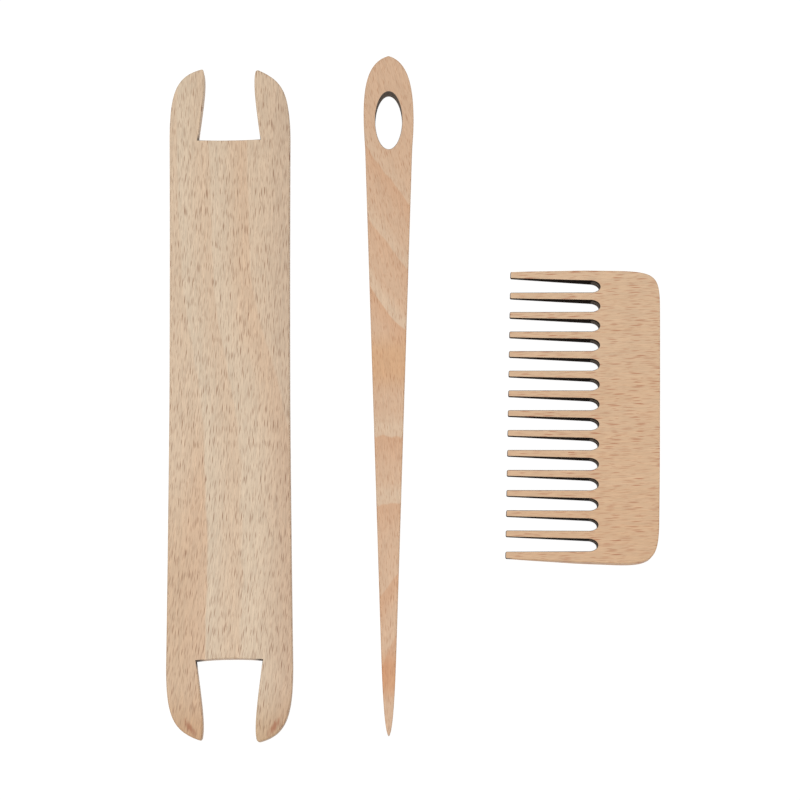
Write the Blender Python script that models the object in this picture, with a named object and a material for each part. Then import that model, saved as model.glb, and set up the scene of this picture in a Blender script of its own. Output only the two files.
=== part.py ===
"""A set of three beech hand tools for tapestry weaving, laid side by side on a table.

stick_shuttle   carries the weft yarn, wound lengthwise round the notches in its two ends
weaving_needle  takes a single strand through the warp by its eye
weaving_comb    beats the woven rows together with its teeth

Each tool is one flat board, cut to its outline and then sanded. All three lie on z = 0, with +Y along
the shuttle and the needle, and with the comb's teeth towards the needle (-X).
"""

import math

import bmesh
import bpy
from mathutils import Vector

MM = 0.001

# The boards: one stock thickness, with the rim rounded over by sanding.
BOARD = 4.6 * MM
RIM = 0.6 * MM
CRISP = 0.12 * MM
RIM_STEPS = 2

# Stick shuttle: a long board with slightly hollow sides and a dovetail notch in each end.
SHUTTLE_HALF_LENGTH = 100.15 * MM
SHUTTLE_SHOULDER = 17.95 * MM
SHUTTLE_WAIST = 17.5 * MM
HORN_ROOT = 78.0 * MM
HORN_CREST = 8.6 * MM
HORN_FULLNESS = (14.0 * MM, 8.15 * MM)
LIP_DROP = 0.95 * MM
# For each horn: how much shorter it is, how steeply it falls from its crest in degrees, and half
# the width of the notch beside it, at the mouth and at the floor.
RIGHT_TOP = (0.75 * MM, 25.0, 7.5 * MM, 9.15 * MM)
LEFT_TOP = (0.28 * MM, 14.0, 7.7 * MM, 9.6 * MM)
LEFT_FOOT = (0.73 * MM, 18.5, 7.6 * MM, 9.5 * MM)
RIGHT_FOOT = (0.0, 13.5, 7.5 * MM, 9.45 * MM)
# For each notch: how far its floor is from the shuttle's middle, and how much its corners are higher.
TOP_NOTCH = (77.43 * MM, 0.14 * MM)
FOOT_NOTCH = (76.75 * MM, 0.41 * MM)

# Weaving needle: widest beside the eye, then one straight taper, then a sanded point.
NEEDLE_LENGTH = 202.45 * MM
NEEDLE_HALF_WIDTH = 7.47 * MM
HEAD = 20.0 * MM
LEFT_CROWN, LEFT_CHEEK = (6.4 * MM, 1.75 * MM), (7.65 * MM, 9.6 * MM)
RIGHT_CROWN, RIGHT_CHEEK = (6.15 * MM, 1.85 * MM), (7.4 * MM, 10.3 * MM)
NECK = 30.0 * MM
NECK_HALF = 6.98 * MM
POINT = 32.0 * MM
POINT_HALF = 2.43 * MM
POINT_FULLNESS = (1.6 * MM, 0.96 * MM)
POINT_RIM = 0.25 * MM
EYE_FROM_HEAD = 20.42 * MM
EYE_HALF = (4.02 * MM, 9.05 * MM)

# Weaving comb: a solid back and 15 teeth, which get narrower and thinner towards their tips.
TEETH = 15
PITCH = 5.895 * MM
COMB_DEPTH = 44.08 * MM
COMB_HALF_LENGTH = 43.37 * MM
COMB_BACK = 17.72 * MM
GAP_ROOT = 3.52 * MM
GAP_ROUND = 2.7 * MM
TOOTH_TIP = 1.86 * MM
TOOTH_TIP_THICKNESS = 1.15 * MM
END_TOOTH_TIP = (40.6 * MM, 42.6 * MM)
TIP_ROUND = 0.4 * MM
CORNER_RUN = 12.0 * MM
CORNER_START, CORNER_PULL = 32.5 * MM, 1.3 * MM
WORN_CORNER_START, WORN_CORNER_PULL = 30.4 * MM, 1.7 * MM
SPINE_CROWN = 0.1 * MM
END_TOOTH_WAIST = (14.0 * MM, 0.3 * MM)

# Where each tool lies: its middle, and how far it is turned (degrees, anticlockwise from above).
SHUTTLE_PLACE = (-53.39 * MM, -1.83 * MM, 0.88)
NEEDLE_PLACE = (-7.1 * MM, 1.02 * MM, 0.07)
COMB_PLACE = (49.66 * MM, -7.78 * MM, -1.57)


# ---------------------------------------------------------------- curves

def cubic(start, pull_out, pull_in, end, steps):
    """Points along a cubic curve, its start and end included."""
    points = []
    for i in range(steps + 1):
        t = i / steps
        u = 1 - t
        weights = (u ** 3, 3 * u * u * t, 3 * u * t * t, t ** 3)
        knots = (start, pull_out, pull_in, end)
        points.append(tuple(sum(w * k[axis] for w, k in zip(weights, knots)) for axis in (0, 1)))
    return points


def arc(centre, radius, from_deg, to_deg, steps):
    """Points along an arc, its ends included."""
    angles = [math.radians(from_deg + (to_deg - from_deg) * i / steps) for i in range(steps + 1)]
    return [(centre[0] + radius * math.cos(a), centre[1] + radius * math.sin(a)) for a in angles]


def joined(*runs):
    """The runs one after another, without the points that two runs share."""
    points = []
    for run in runs:
        for point in run:
            if not points or math.dist(points[-1], point) > 1e-6:
                points.append(point)
    if math.dist(points[0], points[-1]) < 1e-6:
        points.pop()
    return points


def mirrored(run):
    """The run on the other side of the tool's long axis, in the opposite order."""
    return [(-x, y) for x, y in reversed(run)]


# ---------------------------------------------------------------- one board

def inset(points, rims, share):
    """The outline moved into the material by a share of each point's rim."""
    moved = []
    for i, point in enumerate(points):
        before = (Vector(point) - Vector(points[i - 1])).normalized()
        after = (Vector(points[(i + 1) % len(points)]) - Vector(point)).normalized()
        inward = Vector((-before.y - after.y, before.x + after.x)).normalized()
        lean = max(0.5, inward.dot(Vector((-after.y, after.x))))
        moved.append(Vector(point) + inward * (rims[i] * share / lean))
    return moved


def rim_levels():
    """(share of the rim to move in, share of the rim to drop) from the top face to the underside."""
    angles = [math.pi / 2 * i / RIM_STEPS for i in range(RIM_STEPS + 1)]
    down = [(1 - math.sin(a), 1 - math.cos(a)) for a in angles]
    return [(level, 1) for level in down] + [(level, -1) for level in reversed(down)]


def board(name, points, rims, half_thickness, folds=()):
    """A closed board from an anticlockwise outline, with each point's own rim rounding.

    half_thickness gives the board's half thickness at a distance along X. folds are pairs of
    outline points where a crease crosses both faces.
    """
    mesh = bmesh.new()
    rings = []
    for (share, drop), side in rim_levels():
        ring = []
        for point, rim in zip(inset(points, rims, share), rims):
            height = half_thickness(point.x) - rim * drop
            ring.append(mesh.verts.new((point.x, point.y, side * height)))
        rings.append(ring)
    for upper, lower in zip(rings, rings[1:]):
        for i in range(len(points)):
            j = (i + 1) % len(points)
            mesh.faces.new((upper[i], lower[i], lower[j], upper[j]))
    for ring, face in ((rings[0], mesh.faces.new(rings[0])), (rings[-1], mesh.faces.new(rings[-1][::-1]))):
        rest = [face]
        for a, b in folds:
            whole = next(f for f in rest if ring[a] in f.verts and ring[b] in f.verts)
            rest.append(bmesh.utils.face_split(whole, ring[a], ring[b])[0])
    bmesh.ops.translate(mesh, verts=mesh.verts, vec=(0, 0, BOARD / 2))
    data = bpy.data.meshes.new(name)
    mesh.to_mesh(data)
    mesh.free()
    data.shade_smooth()
    data.set_sharp_from_angle(angle=math.radians(35))
    thing = bpy.data.objects.new(name, data)
    bpy.context.scene.collection.objects.link(thing)
    return thing


def even(_distance):
    """A board of one thickness."""
    return BOARD / 2


def lay_down(thing, place):
    """Puts a tool where it lies on the table."""
    x, y, turn = place
    thing.location = (x, y, 0)
    thing.rotation_euler = (0, 0, math.radians(turn))


def beech(name, red, green, blue):
    """Oiled beech, as a plain colour with a soft sheen (linear colour values)."""
    material = bpy.data.materials.new(name)
    material.use_nodes = True
    shader = material.node_tree.nodes["Principled BSDF"]
    shader.inputs["Base Color"].default_value = (red, green, blue, 1)
    shader.inputs["Roughness"].default_value = 0.55
    shader.inputs["Metallic"].default_value = 0.0
    material.diffuse_color = (red, green, blue, 1)
    return material


# ---------------------------------------------------------------- stick shuttle

def half_end(horn, notch):
    """Half of one end: from the right shoulder over the horn and down to the middle of the notch floor."""
    shorter, fall_deg, mouth_half, floor_half = horn
    floor, corner_up = notch
    tip = SHUTTLE_HALF_LENGTH - shorter
    side_pull, crest_pull = HORN_FULLNESS
    fall = math.radians(fall_deg)
    shoulder = (SHUTTLE_SHOULDER, HORN_ROOT)
    crest = (HORN_CREST, tip)
    crest_in = (crest[0] + crest_pull * math.cos(fall), tip - crest_pull * math.sin(fall))
    outside = cubic(shoulder, (SHUTTLE_SHOULDER, HORN_ROOT + side_pull), crest_in, crest, 14)
    lip = (mouth_half + 0.1 * MM, tip - LIP_DROP)
    nose = cubic(crest, (crest[0] - 0.55 * MM, tip + 0.1 * MM), (lip[0] + 0.1 * MM, tip - 0.2 * MM), lip, 4)
    corner = (floor_half, floor + corner_up)
    lip_out = (lip[0] - 0.75 * MM, lip[1] - 4.1 * MM)
    inside = cubic(lip, lip_out, (corner[0] - 1.0 * MM, corner[1] + 8 * MM), corner, 8)
    along = cubic(corner, (corner[0] / 2, floor), (corner[0] / 4, floor), (0, floor), 3)
    return joined(outside, nose, inside, along)


def shuttle_side():
    """The right side from its lower to its upper shoulder, hollowed a little towards the waist."""
    points = []
    for i in range(13):
        along = -1 + 2 * i / 12
        hollow = (SHUTTLE_SHOULDER - SHUTTLE_WAIST) * (1 - abs(along) ** 1.6)
        points.append((SHUTTLE_SHOULDER - hollow, along * HORN_ROOT))
    return points


def make_shuttle():
    """Two ends, the second turned half a turn. Hand sanding left no two horns quite alike."""
    top = joined(shuttle_side(), half_end(RIGHT_TOP, TOP_NOTCH), mirrored(half_end(LEFT_TOP, TOP_NOTCH)))
    foot = joined(shuttle_side(), half_end(LEFT_FOOT, FOOT_NOTCH), mirrored(half_end(RIGHT_FOOT, FOOT_NOTCH)))
    points = joined(top, [(-x, -y) for x, y in foot])
    shuttle = board("stick_shuttle", points, [RIM] * len(points), even)
    shuttle.data.materials.append(beech("beech_shuttle", 0.62, 0.47, 0.34))
    lay_down(shuttle, SHUTTLE_PLACE)


# ---------------------------------------------------------------- weaving needle

def needle_side(crown, cheek):
    """One side, from the head's top down to the point, drawn on the left."""
    top = NEEDLE_LENGTH / 2
    wide = NEEDLE_HALF_WIDTH
    slope = (NECK_HALF - POINT_HALF) / (NEEDLE_LENGTH - NECK - POINT)
    crown_pull, cheek_pull = (-crown[0], top - crown[1]), (-cheek[0], top - cheek[1])
    head = cubic((0, top), crown_pull, cheek_pull, (-wide, top - HEAD), 16)
    third = (NECK - HEAD) / 3
    neck_in = (-NECK_HALF - third * slope, top - NECK + third)
    neck = cubic((-wide, top - HEAD), (-wide, top - HEAD - third), neck_in, (-NECK_HALF, top - NECK), 3)
    third = POINT / 3
    point_out = (-POINT_HALF + third * slope, -top + POINT - third)
    point_in = (-POINT_FULLNESS[0], -top + POINT_FULLNESS[1])
    point = cubic((-POINT_HALF, -top + POINT), point_out, point_in, (0, -top), 9)
    return joined(head, neck, point)


def needle_rim(point):
    """The rim is sanded to a finer rounding where the needle runs out to its point."""
    from_point = (point[1] + NEEDLE_LENGTH / 2) / POINT
    return POINT_RIM + (RIM - POINT_RIM) * min(1.0, from_point)


def eye_cutter():
    """An upright elliptical prism, longer than the board is thick."""
    mesh = bmesh.new()
    bmesh.ops.create_cone(mesh, cap_ends=True, segments=40, radius1=1, radius2=1, depth=1)
    bmesh.ops.scale(mesh, verts=mesh.verts, vec=(*EYE_HALF, 3 * BOARD))
    data = bpy.data.meshes.new("eye_cutter")
    mesh.to_mesh(data)
    mesh.free()
    cutter = bpy.data.objects.new("eye_cutter", data)
    bpy.context.scene.collection.objects.link(cutter)
    cutter.hide_render = True
    cutter.display_type = "WIRE"
    return cutter


def make_needle():
    points = joined(needle_side(LEFT_CROWN, LEFT_CHEEK), mirrored(needle_side(RIGHT_CROWN, RIGHT_CHEEK)))
    needle = board("weaving_needle", points, [needle_rim(p) for p in points], even)
    needle.data.materials.append(beech("beech_needle", 0.62, 0.43, 0.29))
    lay_down(needle, NEEDLE_PLACE)
    cutter = eye_cutter()
    cutter.parent = needle
    cutter.location = (0, NEEDLE_LENGTH / 2 - EYE_FROM_HEAD, BOARD / 2)
    eye = needle.modifiers.new("eye", "BOOLEAN")
    eye.operation = "DIFFERENCE"
    eye.solver = "EXACT"
    eye.object = cutter


# ---------------------------------------------------------------- weaving comb

COMB_FRONT = -COMB_DEPTH / 2
COMB_SPINE = COMB_DEPTH / 2
GAP_END = COMB_SPINE - COMB_BACK
TOOTH_ROOT = GAP_END - GAP_ROUND


def comb_thickness(x):
    """Half thickness: full over the back, then a straight wedge to the tooth tips."""
    share = min(1.0, max(0.0, (x - COMB_FRONT) / (TOOTH_ROOT - COMB_FRONT)))
    return (TOOTH_TIP_THICKNESS + (BOARD - TOOTH_TIP_THICKNESS) * share) / 2


def tooth_tip(lower, upper):
    """The blunt end of a tooth between two sides, from the upper corner to the lower one."""
    x = COMB_FRONT + TIP_ROUND
    return joined(
        arc((x, upper - TIP_ROUND), TIP_ROUND, 90, 180, 2),
        arc((x, lower + TIP_ROUND), TIP_ROUND, 180, 270, 2),
    )


def comb_outer_edge(start, pull):
    """Half of the spine, the sanded corner and an end tooth's outside, drawn on the +Y side.

    The corner leaves the spine at start. The smaller pull is, the squarer the corner.
    """
    side = COMB_HALF_LENGTH
    leave = (COMB_SPINE - SPINE_CROWN, start)
    spine = cubic((COMB_SPINE, 0), (COMB_SPINE, start / 3), (COMB_SPINE, start * 2 / 3), leave, 3)
    corner_out = (leave[0] - SPINE_CROWN / 2, side - pull)
    corner_in = (COMB_SPINE - pull, side)
    corner = cubic(leave, corner_out, corner_in, (COMB_SPINE - CORNER_RUN, side), 12)
    waist = (COMB_FRONT + END_TOOTH_WAIST[0], side - END_TOOTH_WAIST[1])
    return joined(spine, corner, [(TOOTH_ROOT, side - SPINE_CROWN), waist])


def gap_end(y, steps):
    """The rounded end of a gap, longer than a half circle, from its upper to its lower side."""
    angles = [math.radians(90 - 180 * i / steps) for i in range(steps + 1)]
    return [(TOOTH_ROOT + GAP_ROUND * math.cos(a), y + GAP_ROOT / 2 * math.sin(a)) for a in angles]


def comb_outline():
    """The outline from the spine's middle round the comb, with each point's rim and the teeth's folds."""
    middle = [(i - (TEETH - 1) / 2) * PITCH for i in range(TEETH)]
    root_half = (PITCH - GAP_ROOT) / 2
    tips = [(y - TOOTH_TIP / 2, y + TOOTH_TIP / 2) for y in middle]
    tips[0] = (-END_TOOTH_TIP[1], -END_TOOTH_TIP[0])
    tips[-1] = END_TOOTH_TIP
    points, rims, marks = [], [], {}

    def add(run, rim):
        points.extend(run)
        rims.extend([rim] * len(run))

    upper_edge = comb_outer_edge(CORNER_START, CORNER_PULL)
    worn_edge = [(x, -y) for x, y in reversed(comb_outer_edge(WORN_CORNER_START, WORN_CORNER_PULL))]
    add(upper_edge, RIM)
    marks["upper", TEETH - 1] = len(points) - 2
    for i in reversed(range(TEETH)):
        add(tooth_tip(*tips[i]), CRISP)
        if i > 0:
            marks["lower", i] = len(points)
            add([(TOOTH_ROOT, middle[i] - root_half)], CRISP)
            add(gap_end(middle[i] - PITCH / 2, 8)[1:-1], CRISP)
            marks["upper", i - 1] = len(points)
            add([(TOOTH_ROOT, middle[i - 1] + root_half)], CRISP)
    marks["lower", 0] = len(points) + 1
    add(worn_edge[:-1], RIM)
    return points, rims, [(marks["lower", i], marks["upper", i]) for i in range(TEETH)]


def make_comb():
    points, rims, folds = comb_outline()
    comb = board("weaving_comb", points, rims, comb_thickness, folds)
    comb.data.materials.append(beech("beech_comb", 0.65, 0.45, 0.30))
    lay_down(comb, COMB_PLACE)


def main():
    for thing in list(bpy.data.objects):
        bpy.data.objects.remove(thing, do_unlink=True)
    make_shuttle()
    make_needle()
    make_comb()


main()
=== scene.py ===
# %% [markdown]
# # Three beech hand tools for tapestry weaving
# A stick shuttle, a long weaving needle and a weaving comb lie side by side on a lit white table.
# Each tool is one flat board of beech. A laser cut its outline, which leaves a scorched brown wall,
# and the maker then sanded the faces and every edge that a hand or a thread touches. So this lesson
# has two halves. First comes the shape: the same three boards as in the plain model, drawn finer,
# with edges that are rounded more where sandpaper reaches and less where it doesn't. Then comes the
# wood: growth rings, the short dark ray flecks that beech is known by, fibres, and the laser's char.

# %% Load the plain model, which fixes where everything is
import math

import bmesh
import bpy
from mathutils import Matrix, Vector


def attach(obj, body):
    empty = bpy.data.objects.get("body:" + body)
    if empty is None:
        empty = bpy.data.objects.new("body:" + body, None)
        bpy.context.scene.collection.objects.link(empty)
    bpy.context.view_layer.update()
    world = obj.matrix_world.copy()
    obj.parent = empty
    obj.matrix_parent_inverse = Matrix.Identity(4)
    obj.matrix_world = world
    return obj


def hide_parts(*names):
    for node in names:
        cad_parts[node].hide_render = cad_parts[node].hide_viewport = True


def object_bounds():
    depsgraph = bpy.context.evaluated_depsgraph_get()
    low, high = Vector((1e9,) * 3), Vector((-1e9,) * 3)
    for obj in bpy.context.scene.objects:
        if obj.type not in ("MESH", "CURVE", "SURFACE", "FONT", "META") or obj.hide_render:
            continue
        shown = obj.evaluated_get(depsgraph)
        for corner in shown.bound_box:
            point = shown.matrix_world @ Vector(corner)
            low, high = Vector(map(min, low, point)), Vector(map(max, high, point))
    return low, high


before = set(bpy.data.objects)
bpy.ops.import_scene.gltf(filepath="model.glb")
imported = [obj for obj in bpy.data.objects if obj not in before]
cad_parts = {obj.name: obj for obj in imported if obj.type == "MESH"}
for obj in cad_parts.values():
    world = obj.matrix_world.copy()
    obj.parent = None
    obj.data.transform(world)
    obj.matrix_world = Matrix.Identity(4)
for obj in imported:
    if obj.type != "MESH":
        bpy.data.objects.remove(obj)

cad_low, cad_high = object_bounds()
print("plain model from", [round(v, 4) for v in cad_low], "to", [round(v, 4) for v in cad_high])

# %% [markdown]
# ## Colours and lengths
# Blender's shaders work with linear light, while a colour given as a hex code is sRGB. One function turns
# a hex colour into the linear values that every socket below is given. Lengths are written in
# millimetres, which is how a woodworker thinks, and multiplied by MM where a mesh needs metres.

# %% Units and colour
MM = 0.001


def linear(hex_colour):
    """An sRGB hex colour, such as #d2b48c, as linear red, green, blue and alpha."""
    channels = [int(hex_colour[i:i + 2], 16) / 255 for i in (1, 3, 5)]
    return [c / 12.92 if c <= 0.04045 else ((c + 0.055) / 1.055) ** 2.4 for c in channels] + [1.0]


print("mid grey in linear light:", round(linear("#808080")[0], 3))

# %% [markdown]
# ## One helper for shader nodes
# A procedural material is a tree of nodes. Writing `nodes.new` and `links.new` for each one hides
# the idea behind the wiring, so one helper makes a node, fills its sockets and sets its options. A
# socket gets a plain value, or the output of another node, which is then linked. The helper returns
# an output, so that one call can stand inside the next. The option sets below are the sums, the
# soft step and the two colour mixes that come back most.

# %% Node helper
TIMES = {"operation": "MULTIPLY"}
PLUS = {"operation": "ADD"}
MINUS = {"operation": "SUBTRACT"}
SOFT = {"interpolation_type": "SMOOTHSTEP"}
BLEND = {"out": 2, "data_type": "RGBA"}
TINT = {**BLEND, "blend_type": "MULTIPLY"}


def add(tree, kind, sockets=(), out=0, **options):
    """Adds a shader node. sockets are in order, or a dict by name or number. Returns one output."""
    node = tree.nodes.new("ShaderNode" + kind)
    for name, value in options.items():
        setattr(node, name, value)
    for key, value in (sockets if isinstance(sockets, dict) else dict(enumerate(sockets))).items():
        if isinstance(value, bpy.types.NodeSocket):
            tree.links.new(value, node.inputs[key])
        else:
            node.inputs[key].default_value = value
    return node.outputs[out]


def new_material(name):
    """An empty material, its tree of nodes, and the shader in that tree."""
    material = bpy.data.materials.new(name)
    material.use_nodes = True
    return material, material.node_tree, material.node_tree.nodes["Principled BSDF"]


print("helper ready: add(tree, kind, sockets, out, options)")

# %% [markdown]
# ## The camera
# The tools were seen from above through a long lens, tilted a little towards the needle's point.
# That tilt is what shows the dark walls under the comb's teeth and at the top of the eye. The
# camera looks at a point a few millimetres off the set's middle, on the top faces of the boards.

# %% Camera
CAMERA_TILT = math.radians(12.0)
CAMERA_DISTANCE = 639.4 * MM
CAMERA_AIM = (-3.8 * MM, -3.62 * MM)
LENS_MM, SENSOR_MM = 99.0, 36.0

aim = Vector((*CAMERA_AIM, cad_high[2]))
back = Vector((0, -math.sin(CAMERA_TILT), math.cos(CAMERA_TILT)))
lens = bpy.data.cameras.new("copy_stand")
lens.lens = LENS_MM
lens.sensor_width = SENSOR_MM
lens.clip_start = 10 * MM
camera = bpy.data.objects.new("copy_stand", lens)
camera.location = aim + back * CAMERA_DISTANCE
camera.rotation_euler = (CAMERA_TILT, 0, 0)
bpy.context.scene.collection.objects.link(camera)
bpy.context.scene.camera = camera
bpy.context.scene.view_settings.view_transform = "Standard"
print("camera", round(CAMERA_DISTANCE * 1000), "mm away with a", LENS_MM, "mm lens")

# %% [markdown]
# ## The lit table and the light
# Catalogue pictures like this are taken on a table that glows, so that the floor shows pure white
# even in the narrow gaps of the comb, and no shadow is left to cut away. The floor here is opal
# acrylic that gives off nearly all of its light itself. It is set only just as bright as white:
# a brighter floor would eat into the edges of the tools. Most of the rest comes from one large soft
# box overhead, and the surround is dimmer, so that the rounded edges turn darker as they roll over.

# %% Floor, surround and soft box
FLOOR_SIZE = 8.0
FLOOR_GLOW = 0.95
FLOOR_GAP = 0.05 * MM
SURROUND = 0.5
SOFT_BOX_SIZE = 1.0
SOFT_BOX_WATTS = 10.1
SOFT_BOX_PLACE = Vector((-0.15, -0.1, 1.2))


def acrylic_light_table():
    """Opal acrylic, lit from behind: it glows, and reflects little of the light that falls on it."""
    material, _, shader = new_material("opal_acrylic")
    shader.inputs["Base Color"].default_value = linear("#595959")
    shader.inputs["Roughness"].default_value = 0.9
    shader.inputs["Specular IOR Level"].default_value = 0.1
    shader.inputs["Emission Color"].default_value = linear("#ffffff")
    shader.inputs["Emission Strength"].default_value = FLOOR_GLOW
    return material


plane = bmesh.new()
bmesh.ops.create_grid(plane, x_segments=1, y_segments=1, size=FLOOR_SIZE / 2)
floor_mesh = bpy.data.meshes.new("light_table")
plane.to_mesh(floor_mesh)
plane.free()
floor = bpy.data.objects.new("light_table", floor_mesh)
floor.location.z = cad_low[2] - FLOOR_GAP
floor.data.materials.append(acrylic_light_table())
bpy.context.scene.collection.objects.link(floor)

surround = bpy.data.worlds.new("white_surround")
surround.use_nodes = True
surround.node_tree.nodes["Background"].inputs["Color"].default_value = linear("#ffffff")
surround.node_tree.nodes["Background"].inputs["Strength"].default_value = SURROUND
bpy.context.scene.world = surround

soft_box = bpy.data.lights.new("soft_box", "AREA")
soft_box.size = SOFT_BOX_SIZE
soft_box.energy = SOFT_BOX_WATTS
lamp = bpy.data.objects.new("soft_box", soft_box)
lamp.location = SOFT_BOX_PLACE
lamp.rotation_euler = (aim - SOFT_BOX_PLACE).to_track_quat("-Z", "Y").to_euler()
bpy.context.scene.collection.objects.link(lamp)
print("light table, surround and one soft box of", SOFT_BOX_WATTS, "W")

# %% [markdown]
# ## Drawing an outline
# A laser follows an outline, so each tool starts as one too. Besides its place, every point of the
# outline here knows two things: how far the edge there is rounded by sanding (`rim`), and how much
# of the laser's char is left on the wall there (`burn`, from 0 to 1). Curves are cubic curves and
# arcs, as a draughtsman would draw them with a few handles.

# %% Curves


def cubic(start, pull_out, pull_in, end, steps):
    """Points along a cubic curve, its start and end included."""
    points = []
    for i in range(steps + 1):
        t = i / steps
        u = 1 - t
        weights = (u ** 3, 3 * u * u * t, 3 * u * t * t, t ** 3)
        knots = (start, pull_out, pull_in, end)
        points.append(tuple(sum(w * k[axis] for w, k in zip(weights, knots)) for axis in (0, 1)))
    return points


def arc(centre, radius, from_deg, to_deg, steps):
    """Points along an arc, its ends included."""
    angles = [math.radians(from_deg + (to_deg - from_deg) * i / steps) for i in range(steps + 1)]
    return [(centre[0] + radius * math.cos(a), centre[1] + radius * math.sin(a)) for a in angles]


class Outline:
    """A closed outline, in metres, whose points carry their own rim rounding and burn."""

    def __init__(self):
        self.points, self.rims, self.burns = [], [], []

    def run(self, points, rim, burn=0.0):
        """Adds points. rim and burn are numbers, or functions of a point."""
        for point in points:
            if self.points and math.dist(self.points[-1], point) < 1e-6:
                continue
            self.points.append(point)
            self.rims.append(rim(point) if callable(rim) else rim)
            self.burns.append(burn(point) if callable(burn) else burn)
        return self

    def close(self):
        """Drops a last point that repeats the first."""
        if math.dist(self.points[0], self.points[-1]) < 1e-6:
            for values in (self.points, self.rims, self.burns):
                values.pop()
        return self


print("curves ready")

# %% [markdown]
# ## From outline to board
# A board is a stack of rings. The first ring is the edge of the top face, the next ones roll over
# the rounded rim, then the wall goes straight down, and the same rings in reverse lead to the
# underside. Building it this way keeps the rounding true to its radius at every point, which a
# bevel modifier can't do where the radius changes. The two values that the wood shader needs are
# stored on the mesh: `wall` says how far round the edge a point is, and `burn` how scorched.

# %% Board builder
BOARD = 4.6 * MM
RIM_STEPS = 5
SANDED_RIM = 0.42 * MM
CRISP_RIM = 0.1 * MM
SANDING_WANDER = 0.12
SHARP_FROM = math.radians(40)
# The wall value where the face starts to roll over. It reaches 1 where the rim meets the wall.
RIM_START = 0.15
# Char reaches this far in from the rim, onto the face.
CHAR_CREEP = 0.09 * MM
# On the widest rim char starts at the wall value CHAR_START, and is full CHAR_FADE further on.
CHAR_START, CHAR_FADE = 0.8, 0.2
# Where a face's corners all have at least this much burn, it is made of char, and else of wood.
CHARRED = 0.55
WOOD, CHAR = 0, 1


def sanded(rim, along):
    """A hand-sanded rim is never quite even: it wanders slowly along the edge."""
    wander = math.sin(along / (9 * MM)) + 0.6 * math.sin(along / (3.7 * MM) + 1.3)
    return rim * (1 + SANDING_WANDER * wander)


def inset(outline, share, creep):
    """The outline moved in by a share of each point's rim, and by creep where the edge is burnt."""
    points, moved, along = outline.points, [], 0.0
    for i, point in enumerate(points):
        along += math.dist(point, points[i - 1])
        before = (Vector(point) - Vector(points[i - 1])).normalized()
        after = (Vector(points[(i + 1) % len(points)]) - Vector(point)).normalized()
        inward = Vector((-before.y - after.y, before.x + after.x)).normalized()
        lean = max(0.5, inward.dot(Vector((-after.y, after.x))))
        rim = sanded(outline.rims[i], along)
        way = (rim * share + creep * outline.burns[i]) / lean
        moved.append((Vector(point) + inward * way, rim))
    return moved


def rim_levels():
    """(share of the rim to move in, creep, share to drop, side, wall value), top to underside."""
    angles = [math.pi / 2 * i / RIM_STEPS for i in range(RIM_STEPS + 1)]
    down = [(1.0, CHAR_CREEP, 0.0, 1, 0.0)]
    for a in angles:
        wall = RIM_START + (1 - RIM_START) * a / (math.pi / 2)
        down.append((1 - math.sin(a), 0.0, 1 - math.cos(a), 1, wall))
    return down + [(share, creep, drop, -1, wall) for share, creep, drop, _, wall in reversed(down)]


def char_left(burn, wall, rim):
    """Sanding takes the char off the rounded rim: the wider the rim, the further down it starts."""
    start = CHAR_START * min(1.0, max(0.0, (rim - CRISP_RIM) / (SANDED_RIM - CRISP_RIM)))
    return burn * min(1.0, max(0.0, (wall - start) / CHAR_FADE))


def stack_rings(mesh, outline, half_thickness, layers):
    """The rings of one outline, joined by its wall. Returns the top ring and the bottom ring."""
    rings = []
    for share, creep, drop, side, wall in rim_levels():
        ring = []
        for (point, rim), burn in zip(inset(outline, share, creep), outline.burns):
            height = half_thickness(point.x) - rim * drop
            corner = mesh.verts.new((point.x, point.y, side * height))
            corner[layers["wall"]] = wall
            corner[layers["burn"]] = char_left(burn, wall, rim)
            ring.append(corner)
        rings.append(ring)
    for upper, lower in zip(rings, rings[1:]):
        for i in range(len(upper)):
            j = (i + 1) % len(upper)
            face = mesh.faces.new((upper[i], lower[i], lower[j], upper[j]))
            least = min(corner[layers["burn"]] for corner in face.verts)
            face.material_index = CHAR if least >= CHARRED else WOOD
    return rings[0], rings[-1]


def board(name, outline, half_thickness, cap, hole=None):
    """A closed board. cap(mesh, ring, hole_ring) makes a face from a ring of corners."""
    mesh = bmesh.new()
    layers = {key: mesh.verts.layers.float.new(key) for key in ("wall", "burn")}
    top, bottom = stack_rings(mesh, outline, half_thickness, layers)
    hole_top, hole_bottom = stack_rings(mesh, hole, half_thickness, layers) if hole else (None, None)
    cap(mesh, top, hole_top)
    cap(mesh, bottom, hole_bottom)
    bmesh.ops.recalc_face_normals(mesh, faces=mesh.faces)
    bmesh.ops.translate(mesh, verts=mesh.verts, vec=(0, 0, BOARD / 2))
    data = bpy.data.meshes.new(name)
    mesh.to_mesh(data)
    mesh.free()
    data.shade_smooth()
    data.set_sharp_from_angle(angle=SHARP_FROM)
    thing = bpy.data.objects.new(name, data)
    bpy.context.scene.collection.objects.link(thing)
    flatten = thing.modifiers.new("flat_faces_stay_flat", "WEIGHTED_NORMAL")
    flatten.keep_sharp = True
    return thing


def even(_distance):
    """A board of one thickness."""
    return BOARD / 2


def plain_cap(mesh, ring, _hole):
    """One flat face."""
    mesh.faces.new(ring)


print("board builder ready:", RIM_STEPS, "steps round each rim")

# %% [markdown]
# ## Laying a tool down
# Every tool is drawn about its own middle, with its own axes. Keeping it so has a second use: the
# wood shader reads those same coordinates, so the grain stays in line with the tool however the
# tool is turned on the table. This cell also hides the plain node that each tool replaces.

# %% Placing


def lay_down(thing, place, body, node):
    """Puts a tool where it lies, lets it ride on its body, and retires the plain node."""
    x, y, turn = place
    thing.location = (x, y, 0)
    thing.rotation_euler = (0, 0, math.radians(turn))
    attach(thing, body)
    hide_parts(node)
    print(thing.name, len(thing.data.polygons), "faces, in place of", node)


print("ready to lay down the tools, each turned about its own middle")

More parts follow.
